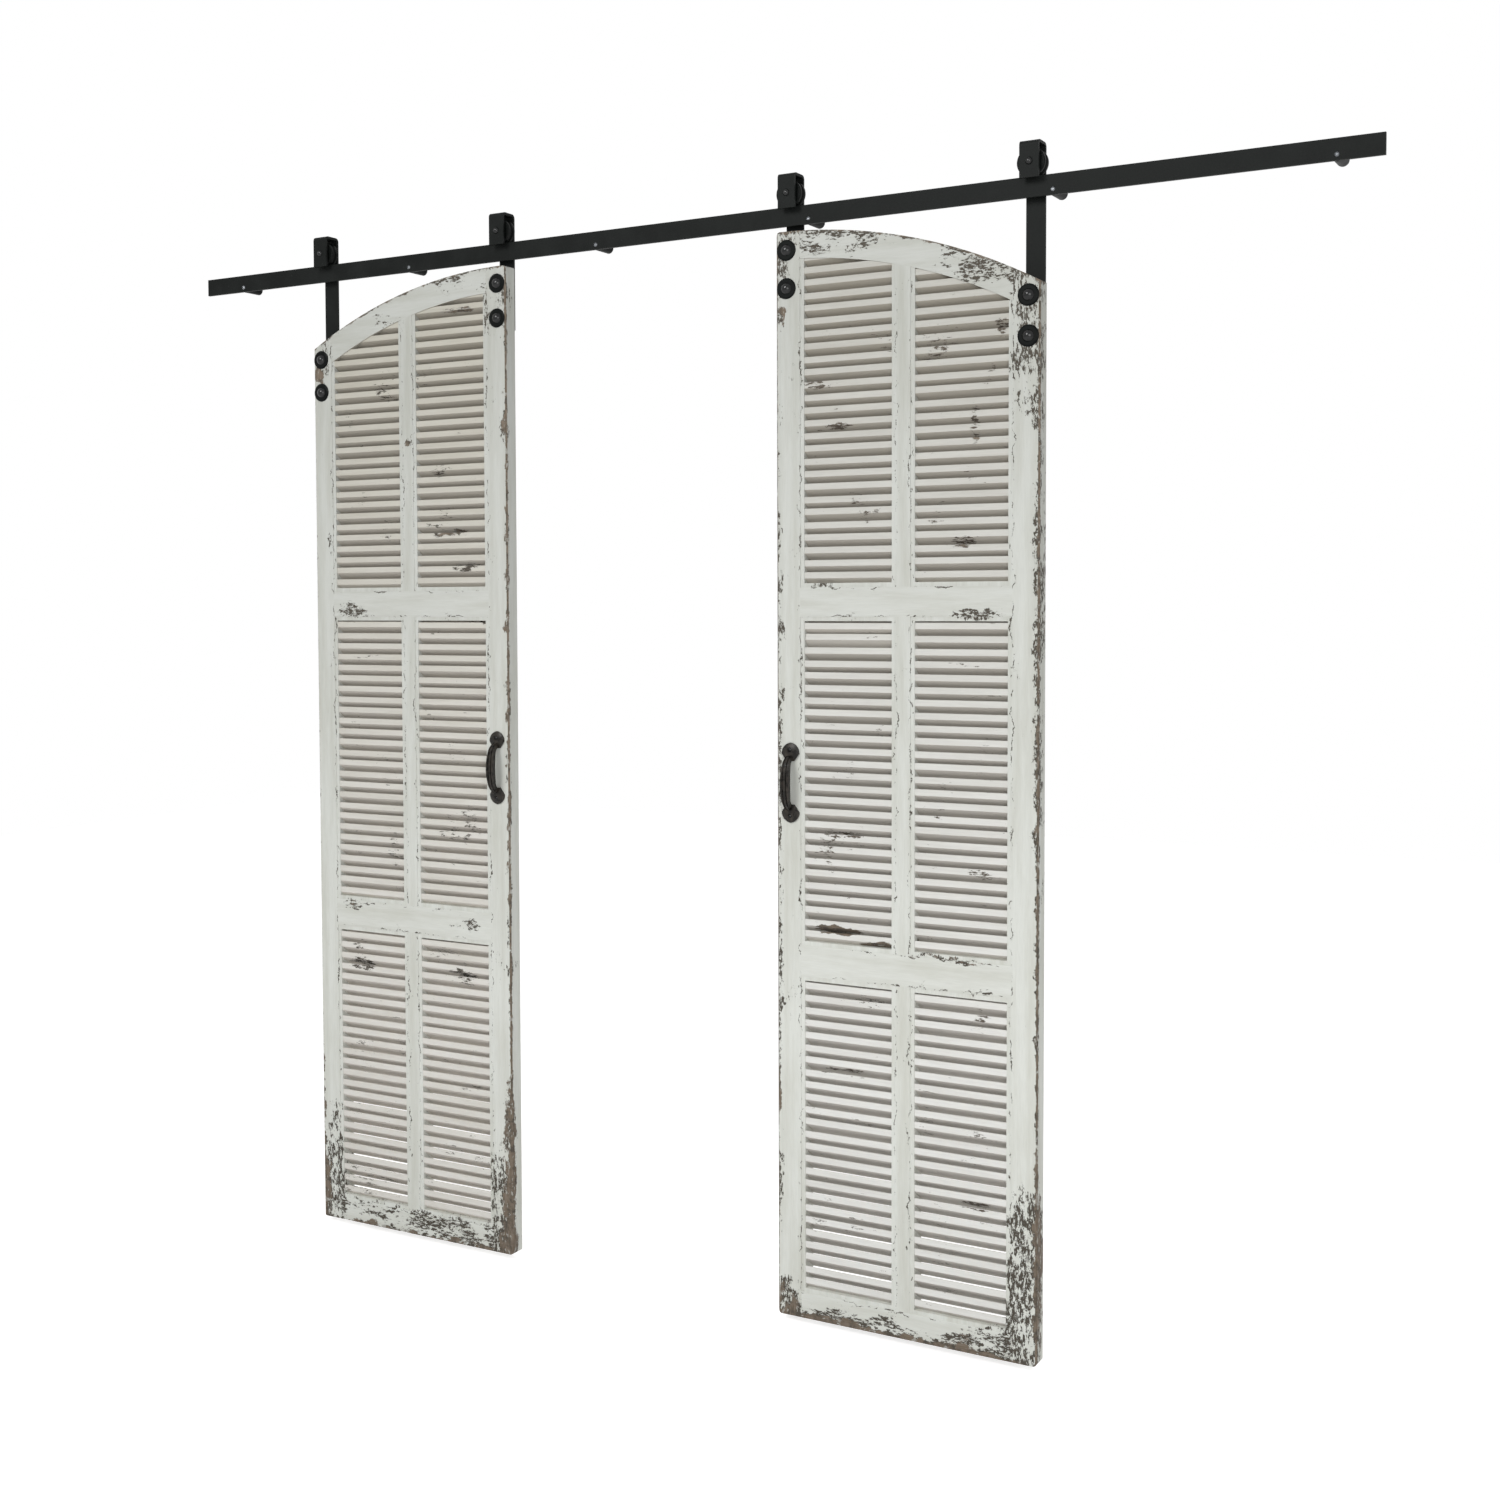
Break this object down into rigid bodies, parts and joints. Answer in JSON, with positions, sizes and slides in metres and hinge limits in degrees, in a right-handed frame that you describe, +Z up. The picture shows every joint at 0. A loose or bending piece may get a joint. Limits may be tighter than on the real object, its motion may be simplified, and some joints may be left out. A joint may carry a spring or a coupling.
{
  "type": "double sliding door",
  "caption": "Pair of arched louvred timber leaves with pull handles, hung by bent-strap roller hangers on a flat wall rail; each leaf slides sideways and its rollers turn.",
  "frame": {"origin": "centre of the six standoffs on the wall plane", "axes": "X runs right along the rail, Y runs towards the wall, Z runs up"},
  "size_m": [2.467, 0.096, 2.1057],
  "materials": {
    "frame_paint": "chalky off-white paint on wood, chipped to bare brown timber at edges",
    "louvre_paint": "creamy off-white paint on wood, lightly chipped",
    "black_coat": "satin black powder coat",
    "wheel_black": "satin black wheel",
    "bush_bronze": "plain bronze bush",
    "zinc_steel": "blackened zinc-plated steel",
    "cast_iron": "dark bronze-black cast iron"
  },
  "bodies": {
    "track": {"rail": "black_coat", "standoffs": "black_coat", "rail_screws": "zinc_steel"},
    "left_leaf": {"left_outer_stile": "frame_paint", "left_inner_stile": "frame_paint", "left_top_rail": "frame_paint", "left_upper_cross_rail": "frame_paint", "left_lower_cross_rail": "frame_paint", "left_bottom_rail": "frame_paint", "left_muntins": "frame_paint", "left_beads": "frame_paint", "left_upper_near_louvres": "louvre_paint", "left_upper_far_louvres": "louvre_paint", "left_middle_near_louvres": "louvre_paint", "left_middle_far_louvres": "louvre_paint", "left_lower_near_louvres": "louvre_paint", "left_lower_far_louvres": "louvre_paint", "left_inner_hanger": "black_coat", "left_outer_hanger": "black_coat", "left_door_bolts": "black_coat", "left_dished_washers": "black_coat", "left_door_nuts": "zinc_steel", "left_axle_bolts": "black_coat", "left_axle_nuts": "zinc_steel", "left_handle": "cast_iron", "left_handle_screws": "cast_iron"},
    "left_inner_roller": {"left_inner_wheel": "wheel_black", "left_inner_bush": "bush_bronze"},
    "left_outer_roller": {"left_outer_wheel": "wheel_black", "left_outer_bush": "bush_bronze"},
    "right_leaf": {"right_outer_stile": "frame_paint", "right_inner_stile": "frame_paint", "right_top_rail": "frame_paint", "right_upper_cross_rail": "frame_paint", "right_lower_cross_rail": "frame_paint", "right_bottom_rail": "frame_paint", "right_muntins": "frame_paint", "right_beads": "frame_paint", "right_upper_near_louvres": "louvre_paint", "right_upper_far_louvres": "louvre_paint", "right_middle_near_louvres": "louvre_paint", "right_middle_far_louvres": "louvre_paint", "right_lower_near_louvres": "louvre_paint", "right_lower_far_louvres": "louvre_paint", "right_inner_hanger": "black_coat", "right_outer_hanger": "black_coat", "right_door_bolts": "black_coat", "right_dished_washers": "black_coat", "right_door_nuts": "zinc_steel", "right_axle_bolts": "black_coat", "right_axle_nuts": "zinc_steel", "right_handle": "cast_iron", "right_handle_screws": "cast_iron"},
    "right_inner_roller": {"right_inner_wheel": "wheel_black", "right_inner_bush": "bush_bronze"},
    "right_outer_roller": {"right_outer_wheel": "wheel_black", "right_outer_bush": "bush_bronze"}
  },
  "joints": [
    {"name": "left_slide", "type": "slide", "parent": "track", "child": "left_leaf", "axis": [1, 0, 0], "range_m": [-0.206, 0.196]},
    {"name": "right_slide", "type": "slide", "parent": "track", "child": "right_leaf", "axis": [1, 0, 0], "range_m": [-0.394, 0.008]},
    {"name": "left_inner_roll", "type": "hinge", "parent": "left_leaf", "child": "left_inner_roller", "pos_m": [-0.453, -0.047, 0.0482], "axis": [0, 1, 0], "continuous": true},
    {"name": "left_outer_roll", "type": "hinge", "parent": "left_leaf", "child": "left_outer_roller", "pos_m": [-0.911, -0.047, 0.0482], "axis": [0, 1, 0], "continuous": true},
    {"name": "right_inner_roll", "type": "hinge", "parent": "right_leaf", "child": "right_inner_roller", "pos_m": [0.193, -0.047, 0.0482], "axis": [0, 1, 0], "continuous": true},
    {"name": "right_outer_roll", "type": "hinge", "parent": "right_leaf", "child": "right_outer_roller", "pos_m": [0.651, -0.047, 0.0482], "axis": [0, 1, 0], "continuous": true}
  ],
  "couplings": [
    {"joint": "left_inner_roll", "follows": "left_slide", "rad_per_m": 44.444},
    {"joint": "left_outer_roll", "follows": "left_slide", "rad_per_m": 44.444},
    {"joint": "right_inner_roll", "follows": "right_slide", "rad_per_m": 44.444},
    {"joint": "right_outer_roll", "follows": "right_slide", "rad_per_m": 44.444}
  ]
}
